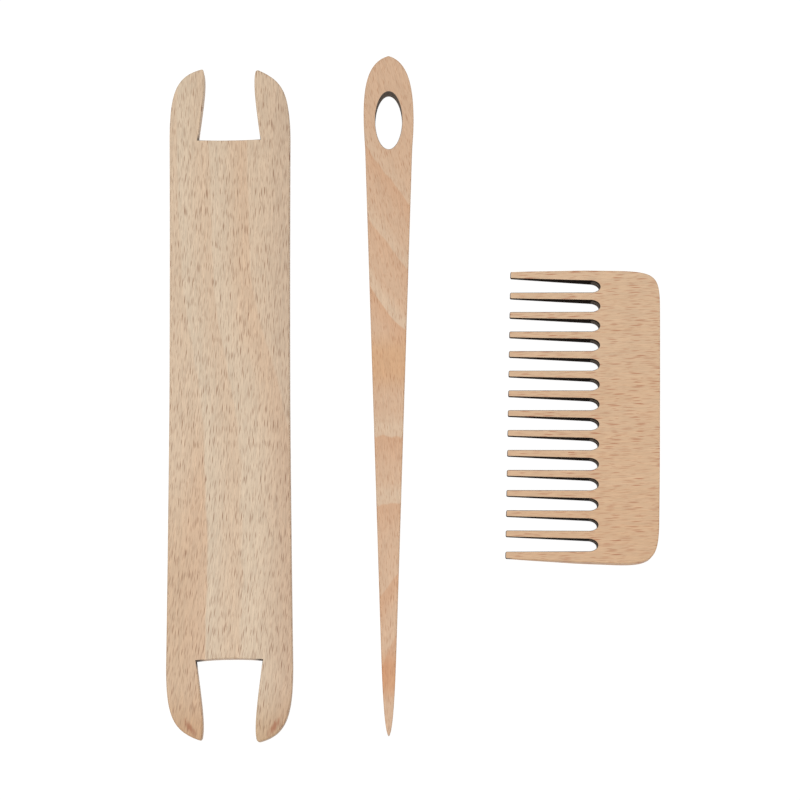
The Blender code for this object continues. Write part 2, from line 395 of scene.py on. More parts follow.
# %% [markdown]
# ## The stick shuttle
# The shuttle is wound lengthwise with yarn, which is held by the notch in each end. The four horns
# are drawn by one curve, but each was sanded by hand to its own length and slope. Sandpaper can't
# get into the notch's corners, so there the edge stays crisp and the laser's char stays on.

# %% Stick shuttle: sizes
SHUTTLE_PLACE = (-53.39 * MM, -1.83 * MM, 0.88)
SHUTTLE_HALF_LENGTH = 100.15 * MM
SHUTTLE_SHOULDER = 17.95 * MM
SHUTTLE_WAIST = 17.5 * MM
HORN_ROOT = 78.0 * MM
HORN_CREST = 8.6 * MM
HORN_FULLNESS = (14.0 * MM, 8.15 * MM)
LIP_DROP = 0.95 * MM
CORNER_REACH = 6.0 * MM
NARROW_RIM, NARROW_REACH = 0.34 * MM, 3.0 * MM
SIDE_STEPS, HORN_STEPS, NOSE_STEPS, NOTCH_STEPS, FLOOR_STEPS = 40, 42, 10, 28, 12
# For each horn: how much shorter it is, how steeply it falls from its crest in degrees, and half
# the width of the notch beside it, at the mouth and at the floor.
RIGHT_TOP = (0.75 * MM, 25.0, 7.5 * MM, 9.15 * MM)
LEFT_TOP = (0.28 * MM, 14.0, 7.7 * MM, 9.6 * MM)
LEFT_FOOT = (0.73 * MM, 18.5, 7.6 * MM, 9.5 * MM)
RIGHT_FOOT = (0.0, 13.5, 7.5 * MM, 9.45 * MM)
# For each notch: how far its floor is from the shuttle's middle, and how much its corners are higher.
TOP_NOTCH = (77.43 * MM, 0.14 * MM)
FOOT_NOTCH = (76.75 * MM, 0.41 * MM)


def from_corner(point):
    """0 in a corner of the notch, rising to 1 where sandpaper reaches freely."""
    floor_half = (LEFT_TOP[3] + RIGHT_TOP[3]) / 2
    gap = math.dist((abs(point[0]), abs(point[1])), (floor_half, TOP_NOTCH[0]))
    return min(1.0, gap / CORNER_REACH)


def horn_rim(point):
    """The rounding of a horn, which is less at its tip, where the horn turns in a small bend."""
    tip_half = (LEFT_TOP[2] + RIGHT_TOP[2]) / 2
    from_tip = math.dist((abs(point[0]), abs(point[1])), (tip_half, SHUTTLE_HALF_LENGTH - LIP_DROP))
    return NARROW_RIM + (SANDED_RIM - NARROW_RIM) * min(1.0, from_tip / NARROW_REACH)


def notch_rim(point):
    """The rounding of the notch's edge, which gets crisp in the corners."""
    return min(horn_rim(point), CRISP_RIM + (SANDED_RIM - CRISP_RIM) * from_corner(point) ** 0.8)


def wall_burn(point):
    """The char on the notch's two walls, which were sanded clean except near the corners."""
    return max(0.0, 1 - 2.4 * from_corner(point))


def floor_burn(point):
    """The char on the notch's floor, where a trace of it is left all the way along."""
    return max(0.1, 1 - 2.0 * from_corner(point))


print("shuttle", round(2 * SHUTTLE_HALF_LENGTH / MM, 1), "mm long")

# %% Stick shuttle: outline


def horn_curves(horn, notch):
    """Half of one end, as three runs: over the horn, down the notch's wall, and along its floor."""
    shorter, fall_deg, mouth_half, floor_half = horn
    floor, corner_up = notch
    tip = SHUTTLE_HALF_LENGTH - shorter
    side_pull, crest_pull = HORN_FULLNESS
    fall = math.radians(fall_deg)
    shoulder = (SHUTTLE_SHOULDER, HORN_ROOT)
    crest = (HORN_CREST, tip)
    crest_in = (crest[0] + crest_pull * math.cos(fall), tip - crest_pull * math.sin(fall))
    outside = cubic(shoulder, (SHUTTLE_SHOULDER, HORN_ROOT + side_pull), crest_in, crest, HORN_STEPS)
    lip = (mouth_half + 0.1 * MM, tip - LIP_DROP)
    nose_out = (crest[0] - 0.55 * MM, tip + 0.1 * MM)
    nose = cubic(crest, nose_out, (lip[0] + 0.1 * MM, tip - 0.2 * MM), lip, NOSE_STEPS)
    corner = (floor_half, floor + corner_up)
    lip_out = (lip[0] - 0.75 * MM, lip[1] - 4.1 * MM)
    corner_in = (corner[0] - 1.0 * MM, corner[1] + 8 * MM)
    inside = cubic(lip, lip_out, corner_in, corner, NOTCH_STEPS)
    along = cubic(corner, (corner[0] / 2, floor), (corner[0] / 4, floor), (0, floor), FLOOR_STEPS)
    return outside + nose, inside, along


def shuttle_side():
    """The right side from its lower to its upper shoulder, hollowed a little towards the waist."""
    points = []
    for i in range(SIDE_STEPS + 1):
        along = -1 + 2 * i / SIDE_STEPS
        hollow = (SHUTTLE_SHOULDER - SHUTTLE_WAIST) * (1 - abs(along) ** 1.6)
        points.append((SHUTTLE_SHOULDER - hollow, along * HORN_ROOT))
    return points


def flipped(run, x_sign, y_sign):
    """The run mirrored across one or both axes, kept anticlockwise."""
    points = [(x * x_sign, y * y_sign) for x, y in run]
    return points[::-1] if x_sign * y_sign < 0 else points


def shuttle_outline():
    """The outline anticlockwise, from the lower right shoulder: a side and an end, twice."""
    outline = Outline()
    ends = ((RIGHT_TOP, LEFT_TOP, TOP_NOTCH, 1), (LEFT_FOOT, RIGHT_FOOT, FOOT_NOTCH, -1))
    for near, far, notch, sign in ends:
        outline.run(flipped(shuttle_side(), sign, sign), SANDED_RIM)
        outside, inside, along = horn_curves(near, notch)
        outline.run(flipped(outside, sign, sign), horn_rim)
        outline.run(flipped(inside, sign, sign), notch_rim, wall_burn)
        outline.run(flipped(along, sign, sign), notch_rim, floor_burn)
        outside, inside, along = horn_curves(far, notch)
        outline.run(flipped(along, -sign, sign), notch_rim, floor_burn)
        outline.run(flipped(inside, -sign, sign), notch_rim, wall_burn)
        outline.run(flipped(outside, -sign, sign), horn_rim)
    return outline.close()


shuttle = board("stick_shuttle_sanded", shuttle_outline(), even, plain_cap)
lay_down(shuttle, SHUTTLE_PLACE, "shuttle", "stick_shuttle")

# %% [markdown]
# ## The weaving needle
# The needle carries one strand through the warp. It is widest beside its eye, tapers in one straight
# line, and ends in a sanded point. Its head was rounded by eye, so the right cheek is a bit leaner.
# The eye is an ellipse, cut by the laser and left as cut. A face with a hole in it isn't one
# polygon, so each face is made as a left half and a right half that meet above and below the eye.

# %% Weaving needle
NEEDLE_PLACE = (-7.1 * MM, 1.02 * MM, 0.07)
NEEDLE_LENGTH = 202.45 * MM
NEEDLE_HALF_WIDTH = 7.47 * MM
HEAD = 20.0 * MM
LEFT_CROWN, LEFT_CHEEK = (6.4 * MM, 1.75 * MM), (7.65 * MM, 9.6 * MM)
RIGHT_CROWN, RIGHT_CHEEK = (6.15 * MM, 1.85 * MM), (7.4 * MM, 10.3 * MM)
NECK = 30.0 * MM
NECK_HALF = 6.98 * MM
POINT = 32.0 * MM
POINT_HALF = 2.43 * MM
POINT_FULLNESS = (1.6 * MM, 0.96 * MM)
POINT_RIM = 0.25 * MM
EYE_FROM_HEAD = 20.42 * MM
EYE_HALF = (4.02 * MM, 9.05 * MM)
EYE_BURN = 0.8
HEAD_STEPS, NECK_STEPS, TAPER_STEPS, POINT_STEPS, EYE_STEPS = 44, 8, 30, 24, 96


def needle_side(crown, cheek):
    """One side, from the head's top down to the point, drawn on the left."""
    top = NEEDLE_LENGTH / 2
    wide = NEEDLE_HALF_WIDTH
    slope = (NECK_HALF - POINT_HALF) / (NEEDLE_LENGTH - NECK - POINT)
    crown_pull, cheek_pull = (-crown[0], top - crown[1]), (-cheek[0], top - cheek[1])
    head = cubic((0, top), crown_pull, cheek_pull, (-wide, top - HEAD), HEAD_STEPS)
    third = (NECK - HEAD) / 3
    neck_in = (-NECK_HALF - third * slope, top - NECK + third)
    neck_end = (-NECK_HALF, top - NECK)
    neck = cubic((-wide, top - HEAD), (-wide, top - HEAD - third), neck_in, neck_end, NECK_STEPS)
    taper_end = (-POINT_HALF, -top + POINT)
    taper = cubic(neck_end, neck_end, taper_end, taper_end, TAPER_STEPS)
    third = POINT / 3
    point_out = (-POINT_HALF + third * slope, -top + POINT - third)
    point_in = (-POINT_FULLNESS[0], -top + POINT_FULLNESS[1])
    point = cubic(taper_end, point_out, point_in, (0, -top), POINT_STEPS)
    return head + neck + taper + point


def needle_rim(point):
    """The rim is sanded to a finer rounding where the needle runs out to its point."""
    from_point = (point[1] + NEEDLE_LENGTH / 2) / POINT
    return POINT_RIM + (SANDED_RIM - POINT_RIM) * min(1.0, from_point)


def eye_outline():
    """The eye, clockwise from its top, so that its rim also moves into the material."""
    centre = NEEDLE_LENGTH / 2 - EYE_FROM_HEAD
    angles = [math.pi / 2 - 2 * math.pi * i / EYE_STEPS for i in range(EYE_STEPS)]
    points = [(EYE_HALF[0] * math.cos(a), centre + EYE_HALF[1] * math.sin(a)) for a in angles]
    return Outline().run(points, CRISP_RIM, EYE_BURN)


def two_halves(mesh, ring, hole):
    """Two faces that meet on the middle line above and below the hole. Both rings start at the top."""
    half, hole_half = len(ring) // 2, len(hole) // 2
    left_of_hole = [hole[0]] + hole[:hole_half - 1:-1]
    right_of_hole = hole[hole_half::-1]
    mesh.faces.new(ring[:half + 1] + left_of_hole[::-1])
    mesh.faces.new(ring[half:] + [ring[0]] + right_of_hole[::-1])


needle_left = needle_side(LEFT_CROWN, LEFT_CHEEK)
needle_right = flipped(needle_side(RIGHT_CROWN, RIGHT_CHEEK), -1, 1)
needle_outline = Outline().run(needle_left + needle_right, needle_rim).close()
needle = board("weaving_needle_sanded", needle_outline, even, two_halves, eye_outline())
lay_down(needle, NEEDLE_PLACE, "needle", "weaving_needle")

# %% [markdown]
# ## The weaving comb
# The comb packs the woven rows. Its back is full thickness, and the maker sanded both faces of the
# teeth to a wedge, so that the tips slip between the warp threads. The gaps are as the laser left
# them, nearly black. The outer edges were sanded clean, and one corner of the spine is worn rounder
# than the other.

# %% Weaving comb: sizes
COMB_PLACE = (49.66 * MM, -7.78 * MM, -1.57)
TEETH = 15
PITCH = 5.895 * MM
COMB_DEPTH = 44.08 * MM
COMB_HALF_LENGTH = 43.37 * MM
COMB_BACK = 17.72 * MM
GAP_ROOT = 3.52 * MM
GAP_ROUND = 2.7 * MM
TOOTH_TIP = 1.86 * MM
TOOTH_TIP_THICKNESS = 1.15 * MM
END_TOOTH_TIP = (40.6 * MM, 42.6 * MM)
TIP_ROUND = 0.4 * MM
TIP_STEPS, GAP_STEPS, FLANK_STEPS, CORNER_STEPS = 6, 24, 5, 40
CORNER_RUN = 12.0 * MM
CORNER_START, CORNER_PULL = 32.5 * MM, 1.3 * MM
WORN_CORNER_START, WORN_CORNER_PULL = 30.4 * MM, 1.7 * MM
SPINE_CROWN = 0.1 * MM
END_TOOTH_WAIST = (14.0 * MM, 0.3 * MM)
COMB_FRONT = -COMB_DEPTH / 2
COMB_SPINE = COMB_DEPTH / 2
GAP_END = COMB_SPINE - COMB_BACK
TOOTH_ROOT = GAP_END - GAP_ROUND
GAP_BURN, GAP_END_BURN = 1.0, 0.9
# A rim takes no more than this much of the wall's half height.
RIM_SHARE = 0.45


def comb_thickness(x):
    """Half thickness: full over the back, then a straight wedge to the tooth tips."""
    share = min(1.0, max(0.0, (x - COMB_FRONT) / (TOOTH_ROOT - COMB_FRONT)))
    return (TOOTH_TIP_THICKNESS + (BOARD - TOOTH_TIP_THICKNESS) * share) / 2


def comb_rim(point):
    """The sanded rim gets smaller with the wedge."""
    return min(SANDED_RIM, RIM_SHARE * comb_thickness(point[0]))


print(TEETH, "teeth, one every", round(PITCH / MM, 2), "mm")

# %% Weaving comb: outline


def tooth_tip(lower, upper):
    """The blunt end of a tooth between two sides, from the upper corner to the lower one."""
    x = COMB_FRONT + TIP_ROUND
    upper_corner = arc((x, upper - TIP_ROUND), TIP_ROUND, 90, 180, TIP_STEPS)
    return upper_corner + arc((x, lower + TIP_ROUND), TIP_ROUND, 180, 270, TIP_STEPS)


def comb_outer_edge(start, pull):
    """Half of the spine and the sanded corner, drawn on the +Y side, up to the root of an end tooth."""
    side = COMB_HALF_LENGTH
    leave = (COMB_SPINE - SPINE_CROWN, start)
    spine = cubic((COMB_SPINE, 0), (COMB_SPINE, start / 3), (COMB_SPINE, start * 2 / 3), leave, 9)
    corner_out = (leave[0] - SPINE_CROWN / 2, side - pull)
    corner_in = (COMB_SPINE - pull, side)
    corner = cubic(leave, corner_out, corner_in, (COMB_SPINE - CORNER_RUN, side), CORNER_STEPS)
    return spine + corner + [(TOOTH_ROOT, side - SPINE_CROWN)]


def end_tooth_outside():
    """From the root of the last tooth to its tip: straight at first, then sanded in towards the tip."""
    side = COMB_HALF_LENGTH
    root = (TOOTH_ROOT, side - SPINE_CROWN)
    waist = (COMB_FRONT + END_TOOTH_WAIST[0], side - END_TOOTH_WAIST[1])
    tip = (COMB_FRONT + TIP_ROUND, END_TOOTH_TIP[1])
    near_waist = (waist[0] + 3 * MM, waist[1] + 0.05 * MM)
    past_waist = (waist[0] - 3 * MM, waist[1] - 0.1 * MM)
    straight = cubic(root, (root[0] - 4 * MM, root[1]), near_waist, waist, 6)
    return straight + cubic(waist, past_waist, (tip[0] + 4 * MM, tip[1] + 0.25 * MM), tip, 6)


def tooth_flank(start, end):
    """The straight side of a tooth, with points between, so that its wedge stays even."""
    return cubic(start, start, end, end, FLANK_STEPS)


def gap_end(y):
    """The rounded end of a gap, longer than a half circle, from its upper to its lower side."""
    angles = [math.radians(90 - 180 * i / GAP_STEPS) for i in range(GAP_STEPS + 1)]
    return [(TOOTH_ROOT + GAP_ROUND * math.cos(a), y + GAP_ROOT / 2 * math.sin(a)) for a in angles]


def comb_outline():
    """The outline anticlockwise from the spine's middle, and the two root points of every tooth."""
    middle = [(i - (TEETH - 1) / 2) * PITCH for i in range(TEETH)]
    root_half = (PITCH - GAP_ROOT) / 2
    tips = [(y - TOOTH_TIP / 2, y + TOOTH_TIP / 2) for y in middle]
    tips[0] = (-END_TOOTH_TIP[1], -END_TOOTH_TIP[0])
    tips[-1] = END_TOOTH_TIP
    outline, roots = Outline(), {}
    outline.run(comb_outer_edge(CORNER_START, CORNER_PULL), comb_rim)
    roots["upper", TEETH - 1] = len(outline.points) - 1
    outline.run(end_tooth_outside(), comb_rim)
    for i in reversed(range(TEETH)):
        lower, upper = tips[i]
        outline.run(tooth_tip(lower, upper), CRISP_RIM, GAP_BURN)
        if i > 0:
            root = (TOOTH_ROOT, middle[i] - root_half)
            outline.run(tooth_flank((COMB_FRONT + TIP_ROUND, lower), root), CRISP_RIM, GAP_BURN)
            roots["lower", i] = len(outline.points) - 1
            rounded = gap_end(middle[i] - PITCH / 2)
            outline.run(rounded, CRISP_RIM, GAP_END_BURN)
            roots["upper", i - 1] = len(outline.points) - 1
            next_tip = (COMB_FRONT + TIP_ROUND, tips[i - 1][1])
            outline.run(tooth_flank(rounded[-1], next_tip), CRISP_RIM, GAP_BURN)
    outline.run(flipped(end_tooth_outside(), 1, -1), comb_rim)
    roots["lower", 0] = len(outline.points) - 1
    outline.run(flipped(comb_outer_edge(WORN_CORNER_START, WORN_CORNER_PULL), 1, -1), comb_rim)
    return outline.close(), [(roots["lower", i], roots["upper", i]) for i in range(TEETH)]


comb_edge, tooth_roots = comb_outline()


def back_and_teeth(mesh, ring, _hole):
    """One face for the back and one for each tooth, split where the wedge starts."""
    rest = [mesh.faces.new(ring)]
    for lower, upper in tooth_roots:
        whole = next(f for f in rest if ring[lower] in f.verts and ring[upper] in f.verts)
        rest.append(bmesh.utils.face_split(whole, ring[lower], ring[upper])[0])


comb = board("weaving_comb_sanded", comb_edge, comb_thickness, back_and_teeth)
lay_down(comb, COMB_PLACE, "comb", "weaving_comb")

# %% [markdown]
# ## What beech looks like
# Beech is a pale, pinkish, even wood. Four things are seen on a sanded board. Growth rings show as
# broad soft bands: each ring starts pale, darkens slowly and ends at a sharp line. Rays show as
# short dark spindles, 1 to 3 mm long and a quarter of a millimetre wide, all in line with the
# grain. Between them run fibres, which give faint streaks. And the wood is a little uneven in tone
# from place to place. All of it is made in the wood's own solid space, so that a ring that meets an
# edge goes on down the wall, and the end grain shows the rays end on.

# %% Grain coordinates
RAY_SLANT = 0.25


def grain_space(tree, turned, lean, bend):
    """Millimetres across, along and through the board, with the grain straightened.

    turned is True where the grain runs along the tool's X instead of its Y. lean is how much the
    grain leans sideways per millimetre, and bend how much that changes along the board.
    """
    metres = add(tree, "SeparateXYZ", [add(tree, "TexCoord", out="Object")]).node.outputs
    x, y, z = [add(tree, "Math", (metre, 1 / MM), **TIMES) for metre in metres]
    across, along = (y, x) if turned else (x, y)
    slope = add(tree, "Math", (along, bend, lean), operation="MULTIPLY_ADD")
    straight = add(tree, "Math", (across, add(tree, "Math", (along, slope), **TIMES)), **MINUS)
    slanted = add(tree, "Math", (z, RAY_SLANT, straight), operation="MULTIPLY_ADD")
    fibre = add(tree, "CombineXYZ", (slanted, along, z))
    plain = add(tree, "CombineXYZ", (x, y, z))
    return {"x": x, "y": y, "z": z, "fibre": fibre, "plain": plain}


def uneven(tree, vector, size, low, high, detail=2.0):
    """Soft noise between low and high. size is how long its features are, in mm along each axis."""
    scaled = add(tree, "VectorMath", (vector, size), operation="DIVIDE")
    soft = add(tree, "TexNoise", {"Vector": scaled, "Scale": 1.0, "Detail": detail, "Roughness": 0.55})
    return add(tree, "MapRange", (soft, 0.25, 0.75, low, high))


print("grain helpers ready")

# %% [markdown]
# ## Ray flecks
# A ray is a thin upright ribbon of cells, so on the board's face it is a spindle, and on an edge
# that cuts along it it is a wider flake. Cells of a Voronoi pattern, stretched along the grain,
# give each fleck its own place. The pattern is flat and reaches right through the board, as rays
# do. The cell's random colour sets how long and how dark its fleck is.

# %% Ray flecks
FLECK_REACH = (0.06, 0.42)
PALEST_FLECK = 0.2


def flecks(tree, grain, spacing, seed, strength):
    """strength or less in the middle of a fleck, and 0 outside. spacing is (across, along) in mm."""
    moved = add(tree, "VectorMath", (grain["fibre"], (seed * 7.3, seed * 3.1, 0)), **PLUS)
    scaled = add(tree, "VectorMath", (moved, (*spacing, 1)), operation="DIVIDE")
    cells = add(tree, "TexVoronoi", {"Vector": scaled, "Scale": 1.0}, voronoi_dimensions="2D").node.outputs
    luck = add(tree, "SeparateColor", [cells["Color"]]).node.outputs
    size = add(tree, "MapRange", (luck[0], 0, 1, FLECK_REACH[0], FLECK_REACH[1]))
    share = add(tree, "Math", (cells["Distance"], size), operation="DIVIDE")
    shape = add(tree, "MapRange", (share, 1.0, 0.3), **SOFT)
    darkness = add(tree, "MapRange", (luck[1], 0, 1, PALEST_FLECK * strength, strength))
    return add(tree, "Math", (shape, darkness), **TIMES)


print("flecks ready, reaching", FLECK_REACH, "of the spacing between them")

# %% [markdown]
# ## Growth rings
# The three boards were cut from the log at different angles, so their rings show differently. A
# ring darkens slowly, ends at a sharp line, and the next one starts pale. So each line here has a
# tone that grows towards it and another that fades away after it. A tone above 0 is darker.
#
# In the shuttle the rings run lengthwise, in long lines that swing sideways once. In the needle they
# cross the blade, and lean one way near the eye and the other way near the point. The comb was cut
# along the rings, so it has nearly none, only a slow change of tone.

# %% Ring lines


def ring_lines(tree, place, lines, grow, fade):
    """The tone round 0.5, where place in mm passes lines, each (where, tone before, tone after)."""
    total = 0.5
    for where, before, after in lines:
        past = add(tree, "Math", (place, where), **MINUS)
        growing = add(tree, "MapRange", (past, -grow, -1.0, 0, before), **SOFT)
        ended = add(tree, "MapRange", (past, 0.5, -0.3), **SOFT)
        fading = add(tree, "MapRange", (past, 0.0, fade, after, 0), **SOFT)
        begun = add(tree, "MapRange", (past, -0.3, 0.5), **SOFT)
        total = add(tree, "Math", (growing, ended, total), operation="MULTIPLY_ADD")
        total = add(tree, "Math", (fading, begun, total), operation="MULTIPLY_ADD")
    return total


def dipping(tree, grain, dip):
    """How far a ring has moved as it dives into the board, in mm: nothing on the upper face."""
    return add(tree, "Math", (grain["z"], dip, -dip * BOARD / MM), operation="MULTIPLY_ADD")


print("ring lines ready")

# %% Rings of the shuttle
SHUTTLE_LINES = ((-4.0, 0.1, -0.25), (7.0, 0.32, -0.05))
LOW_LINE, LOW_DARKNESS = -13.5, 0.55
SHUTTLE_RING_DIP = 3.6
# How far before and after a line its tone reaches, in mm.
SHUTTLE_RING_REACH = (8.0, 9.0)


def shuttle_rings(tree, grain):
    """Long ring lines that swing to the right on their way down, more so on the right side."""
    swing = add(tree, "MapRange", (grain["y"], 45, -22, 0.0, 6.0), **SOFT)
    spread = add(tree, "MapRange", (grain["x"], 0, 14, 1.0, 1.8))
    drift = add(tree, "MapRange", (grain["y"], 80, -20, -2.2, 0.5))
    shift = add(tree, "Math", (swing, spread, drift), operation="MULTIPLY_ADD")
    wave = uneven(tree, grain["plain"], (10, 24, 10), -0.8, 0.8)
    dip = dipping(tree, grain, SHUTTLE_RING_DIP)
    bent = add(tree, "Math", (add(tree, "Math", (wave, dip), **PLUS), shift), **MINUS)
    place = add(tree, "Math", (grain["x"], bent), **PLUS)
    darker = add(tree, "MapRange", (grain["y"], 5, -35, 0.0, LOW_DARKNESS), **SOFT)
    return ring_lines(tree, place, ((LOW_LINE, darker, -0.3), *SHUTTLE_LINES), *SHUTTLE_RING_REACH)


print("the shuttle has", 1 + len(SHUTTLE_LINES), "ring lines, the first only in its lower half")

# %% Rings of the needle
NEEDLE_LINES = (
    (-63.4, -0.25, 0.4), (-42.2, -0.4, 0.25), (-21.8, -0.65, 0.45), (15.4, -0.6, 0.45),
    (35.2, -0.65, 0.4), (58.4, -0.1, 0.6), (77.5, -0.1, 0.45))
NEEDLE_RING_DIP = 6.0
NEEDLE_RING_REACH = (8.0, 11.0)


def needle_rings(tree, grain):
    """Ring lines across the blade, in order from the eye to the point."""
    near_eye = add(tree, "MapRange", (grain["y"], -4, 24, 0.0, 1.4), **SOFT)
    near_point = add(tree, "MapRange", (grain["y"], -25, -85, 0.0, -2.6), **SOFT)
    lean = add(tree, "Math", (near_eye, near_point), **PLUS)
    tilted = add(tree, "Math", (grain["x"], lean, grain["y"]), operation="MULTIPLY_ADD")
    wave = uneven(tree, grain["plain"], (5, 18, 5), -1.0, 1.0)
    dip = dipping(tree, grain, NEEDLE_RING_DIP)
    bent = add(tree, "Math", (add(tree, "Math", (wave, dip), **PLUS), tilted), **PLUS)
    place = add(tree, "Math", (bent, -1.0), **TIMES)
    return ring_lines(tree, place, NEEDLE_LINES, *NEEDLE_RING_REACH)


print("the needle has", len(NEEDLE_LINES), "ring lines")

# %% Rings of the comb


def comb_rings(tree, grain):
    """No lines, only a tone that grows from one end of the spine to the other, with soft streaks."""
    slow = add(tree, "MapRange", (grain["y"], 35, -40, 0.25, 0.75))
    return add(tree, "Math", (slow, uneven(tree, grain["fibre"], (3, 30, 8), -0.2, 0.2)), **PLUS)


print("the comb has no ring lines")

# %% [markdown]
# ## Laser char
# The laser leaves a dry crust of soot on a cut wall. It is almost black where the beam lingered and
# browner where the cut went faster, with faint upright lines, one for each pulse of the beam.
# Where a wall is fully charred it gets a material of its own, because soot reflects much less than
# oiled wood. The same colours serve the wood shader, which goes over into char by degrees.

# %% Laser char
CHAR_ROUGHNESS = 0.9
CHAR_BLACK, CHAR_BROWN = "#1c1008", "#71665d"
CHAR_SPECULAR = 0.02
CHAR_RELIEF = {"Strength": 0.4, "Distance": 0.04 * MM}
# Half the height of the brown band, in mm: where the beam lingered, and where it went faster.
BROWN_REACH = (0.45, 3.9)
# The size of the upright lines and of the band's wander, in mm along the tool's X, Y and Z.
PULSE_SIZE, WANDER_SIZE = (0.28, 0.28, 6.0), (2.0, 2.0, 9.0)


def off_middle(tree, grain):
    """How far up or down from the middle of the board's thickness, in mm."""
    signed = add(tree, "Math", (grain["z"], 0.5 * BOARD / MM), **MINUS)
    return add(tree, "Math", [signed], operation="ABSOLUTE")


def soot(tree, grain):
    """The colour of char, and the height of its upright lines."""
    pulses = uneven(tree, grain["plain"], PULSE_SIZE, 0.0, 1.0, 1.0)
    wander = uneven(tree, grain["plain"], WANDER_SIZE, 0.0, 0.8, 1.0)
    height = add(tree, "Math", (off_middle(tree, grain), wander), **PLUS)
    burn = add(tree, "Attribute", out="Fac", attribute_name="burn")
    reach = add(tree, "MapRange", (burn, 1.0, 0.8, *BROWN_REACH))
    inside = add(tree, "MapRange", (add(tree, "Math", (reach, height), **MINUS), 0.0, 0.9), **SOFT)
    brown = add(tree, "Math", (inside, add(tree, "MapRange", (pulses, 0, 1, 0.7, 1.0))), **TIMES)
    return add(tree, "Mix", {0: brown, 6: linear(CHAR_BLACK), 7: linear(CHAR_BROWN)}, **BLEND), pulses


def laser_char(name):
    """Charred beech, as the laser leaves it: a dry, matt crust that reflects very little."""
    material, tree, shader = new_material(name)
    colour, pulses = soot(tree, grain_space(tree, False, 0.0, 0.0))
    tree.links.new(colour, shader.inputs["Base Color"])
    shader.inputs["Roughness"].default_value = CHAR_ROUGHNESS
    shader.inputs["Specular IOR Level"].default_value = CHAR_SPECULAR
    relief = add(tree, "Bump", {**CHAR_RELIEF, "Height": pulses})
    tree.links.new(relief, shader.inputs["Normal"])
    return material


print("char ready, from", CHAR_BLACK, "to", CHAR_BROWN)

# %% [markdown]
# ## The beech itself
# One function builds the wood for all three tools, because they are the same wood from the same
# workshop. What differs is handed in: the colours of early and late wood, how the grain lies, how
# strong the fibres and how dense the flecks are. The finish is a thin oil, sanded back, so the
# surface is nearly matt. The walls get a darker tint that is partly the laser's toast and partly
# painted shade, standing in for edges that turn away from the light overhead. It is strongest
# halfway down, where sandpaper took least away, and where `burn` says so the walls go over into
# char. The real pores of beech are under a tenth of a millimetre wide. That is too fine to show, so
# the threads are coarser.

# %% Beech
BEECH_IOR = 1.5
OILED_ROUGHNESS = 0.52
GRAIN_RELIEF = {"Strength": 0.12, "Distance": 0.06 * MM}
# The walls' tint: partly the laser's toast, partly painted shade on edges that face away from the light
# overhead.
TOAST_AND_EDGE_SHADE = "#e9dccd"
# The tint of toast and painted shade is least at the band's first distance in mm off the wall's middle,
# and most from its second distance inwards.
TOAST_AND_SHADE_BAND, TOAST_AND_SHADE_SHARE = (1.9, 0.7), (0.4, 0.95)
# Clouds in mm along the tool's X, Y and Z, streaks and threads across, along and through the grain.
CLOUD_SIZE, STREAK_SIZE, THREAD_SIZE = (9, 22, 9), (0.9, 22, 1.2), (0.16, 4.0, 0.4)
UNEVEN_TONE = (0.975, 1.025)


def wood_colour(tree, grain, tone, colours, fibre_strength, fleck_layers):
    """The wood of the faces: rings, clouds, fibres and flecks. Also returns the height of its grain."""
    early, late, fleck = [linear(colour) for colour in colours]
    ringed = add(tree, "Mix", {0: tone, 6: early, 7: late}, **BLEND)
    cloud = uneven(tree, grain["plain"], CLOUD_SIZE, *UNEVEN_TONE)
    streak = uneven(tree, grain["fibre"], STREAK_SIZE, *UNEVEN_TONE)
    thread = uneven(tree, grain["fibre"], THREAD_SIZE, 1 - fibre_strength, 1 + fibre_strength, 1.0)
    shade = add(tree, "Math", (add(tree, "Math", (cloud, streak), **TIMES), thread), **TIMES)
    wood = add(tree, "Mix", {0: 1.0, 6: ringed, 7: add(tree, "CombineXYZ", (shade, shade, shade))}, **TINT)
    darkest = 0.0
    for spacing, seed, strength in fleck_layers:
        layer = flecks(tree, grain, spacing, seed, strength)
        darkest = add(tree, "Math", (darkest, layer), operation="MAXIMUM")
    height = add(tree, "Math", (darkest, -0.8, thread), operation="MULTIPLY_ADD")
    return add(tree, "Mix", {0: darkest, 6: wood, 7: fleck}, **BLEND), height


def walls(tree, grain, wood):
    """The wood with its walls toasted, darkened with painted shade, and charred. Also returns how charred
    it is, from 0 to 1.
    """
    wall = add(tree, "Attribute", out="Fac", attribute_name="wall")
    # Toast and painted shade: the walls darken as they turn sideways, most of all halfway down.
    halfway = add(tree, "MapRange", (off_middle(tree, grain), *TOAST_AND_SHADE_BAND, *TOAST_AND_SHADE_SHARE), **SOFT)
    toast_and_shade = add(tree, "Math", (halfway, add(tree, "MapRange", (wall, 0.3, 1.0), **SOFT)), **TIMES)
    toasted_and_shaded = add(tree, "Mix", {0: toast_and_shade, 6: wood, 7: linear(TOAST_AND_EDGE_SHADE)}, **TINT)
    char, pulses = soot(tree, grain)
    burn = add(tree, "Attribute", out="Fac", attribute_name="burn")
    ragged = add(tree, "Math", (pulses, 0.1, burn), operation="MULTIPLY_ADD")
    charred = add(tree, "MapRange", (ragged, 0.12, 0.8), **SOFT)
    return add(tree, "Mix", {0: charred, 6: toasted_and_shaded, 7: char}, **BLEND), charred


